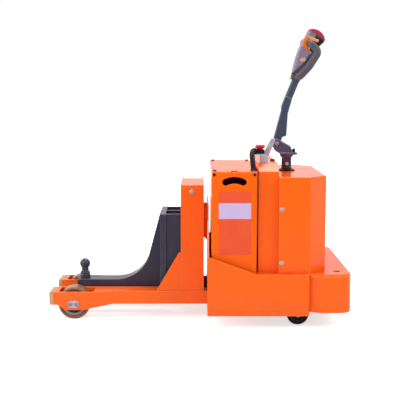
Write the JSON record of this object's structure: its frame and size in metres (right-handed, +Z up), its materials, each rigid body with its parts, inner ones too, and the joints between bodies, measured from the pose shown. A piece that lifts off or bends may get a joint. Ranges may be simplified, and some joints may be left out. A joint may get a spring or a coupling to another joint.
{
  "type": "walk-behind electric tow tug",
  "caption": "Walk-behind battery tow tug with twin roller legs, a lifting hitch with tow ball, battery box, drive hood, round bumper and a steering tiller.",
  "frame": {"origin": "on the floor under the middle of the overall length and width", "axes": "+X toward the bumper and tiller end, +Y to the vehicle's left, +Z up"},
  "size_m": [1.376, 0.71, 1.3424],
  "materials": {
    "orange_paint": "powder-coated, semi-gloss",
    "battery_paint": "powder-coated, semi-gloss",
    "slate_paint": "powder-coated, satin",
    "hitch_paint": "powder-coated, satin",
    "bare_steel": "machined",
    "zinc": "zinc plated",
    "cast": "painted casting",
    "tyre_pu": "polyurethane",
    "tyre_black": "rubber",
    "buffer": "polyurethane buffer",
    "black_plastic": "moulded",
    "grip_plastic": "moulded, fine grain",
    "red_plastic": "moulded",
    "stop_red": "moulded",
    "orange_plastic": "moulded",
    "battery_case": "moulded",
    "hub_grey": "cast"
  },
  "bodies": {
    "chassis": {"side_panels": "orange_paint", "deck_plate": "orange_paint", "bumper_skirt": "orange_paint", "rear_wall": "orange_paint", "bay_floor": "orange_paint", "battery_box": "battery_paint", "battery_lid": "battery_paint", "battery_block": "battery_case", "tower": "orange_paint", "drive_hood": "orange_paint", "column_flange": "black_plastic", "turntable_ring": "cast", "caster_mounts": "orange_paint", "fork_leg_right": "orange_paint", "fork_leg_left": "orange_paint", "tip_buffers": "buffer", "load_axles": "bare_steel", "axle_keepers": "zinc", "mast_post": "orange_paint", "mast_cap": "orange_paint", "mast_gussets": "orange_paint", "mast_link": "orange_paint", "mast_foot": "orange_paint", "ram_barrel": "hitch_paint", "stop_bracket": "zinc", "stop_switch": "black_plastic", "stop_knob": "stop_red", "battery_conduit": "black_plastic", "key_switch": "black_plastic"},
    "hitch": {"hitch_carriage": "hitch_paint", "hitch_tongue": "hitch_paint", "guide_pads": "black_plastic", "tow_ball": "hitch_paint", "ram_rod": "bare_steel"},
    "load_roller_right": {"load_tyre_right": "tyre_pu", "load_hub_right": "hub_grey"},
    "load_roller_left": {"load_tyre_left": "tyre_pu", "load_hub_left": "hub_grey"},
    "caster_right": {"caster_fork_right": "zinc"},
    "caster_left": {"caster_fork_left": "zinc"},
    "caster_wheel_right": {"caster_tyre_right": "tyre_black", "caster_hub_right": "cast"},
    "caster_wheel_left": {"caster_tyre_left": "tyre_black", "caster_hub_left": "cast"},
    "steer": {"drive_unit": "cast", "drive_motor": "cast", "steering_column": "slate_paint", "tiller_yoke": "slate_paint", "pivot_bolt": "zinc"},
    "drive_wheel": {"drive_tyre": "tyre_black", "drive_hub": "cast"},
    "tiller": {"tiller_arm": "slate_paint", "tiller_tube": "slate_paint", "tiller_head": "grip_plastic", "belly_switch": "red_plastic", "throttle_wings": "orange_plastic"}
  },
  "joints": [
    {"name": "hitch_lift", "type": "slide", "parent": "chassis", "child": "hitch", "axis": [0, 0, 1], "range_m": [0, 0.1]},
    {"name": "load_roller_right_spin", "type": "hinge", "parent": "chassis", "child": "load_roller_right", "pos_m": [-0.576, -0.1305, 0.075], "axis": [0, 1, 0], "continuous": true},
    {"name": "load_roller_left_spin", "type": "hinge", "parent": "chassis", "child": "load_roller_left", "pos_m": [-0.576, 0.1305, 0.075], "axis": [0, 1, 0], "continuous": true},
    {"name": "caster_right_swivel", "type": "hinge", "parent": "chassis", "child": "caster_right", "pos_m": [0.425, -0.245, 0.148], "axis": [0, 0, 1], "continuous": true},
    {"name": "caster_left_swivel", "type": "hinge", "parent": "chassis", "child": "caster_left", "pos_m": [0.425, 0.245, 0.148], "axis": [0, 0, 1], "continuous": true},
    {"name": "caster_right_spin", "type": "hinge", "parent": "caster_right", "child": "caster_wheel_right", "pos_m": [0.457, -0.245, 0.05], "axis": [0, 1, 0], "continuous": true},
    {"name": "caster_left_spin", "type": "hinge", "parent": "caster_left", "child": "caster_wheel_left", "pos_m": [0.457, 0.245, 0.05], "axis": [0, 1, 0], "continuous": true},
    {"name": "steer_turn", "type": "hinge", "parent": "chassis", "child": "steer", "pos_m": [0.424, 0, 0.3], "axis": [0, 0, 1], "range_deg": [-90, 90]},
    {"name": "drive_wheel_spin", "type": "hinge", "parent": "steer", "child": "drive_wheel", "pos_m": [0.424, 0, 0.105], "axis": [0, 1, 0], "continuous": true},
    {"name": "tiller_tilt", "type": "hinge", "parent": "steer", "child": "tiller", "pos_m": [0.374, 0, 0.812], "axis": [0, 1, 0], "range_deg": [0, 65], "stiffness_Nm_per_rad": 16, "springref_deg": -34.38}
  ]
}
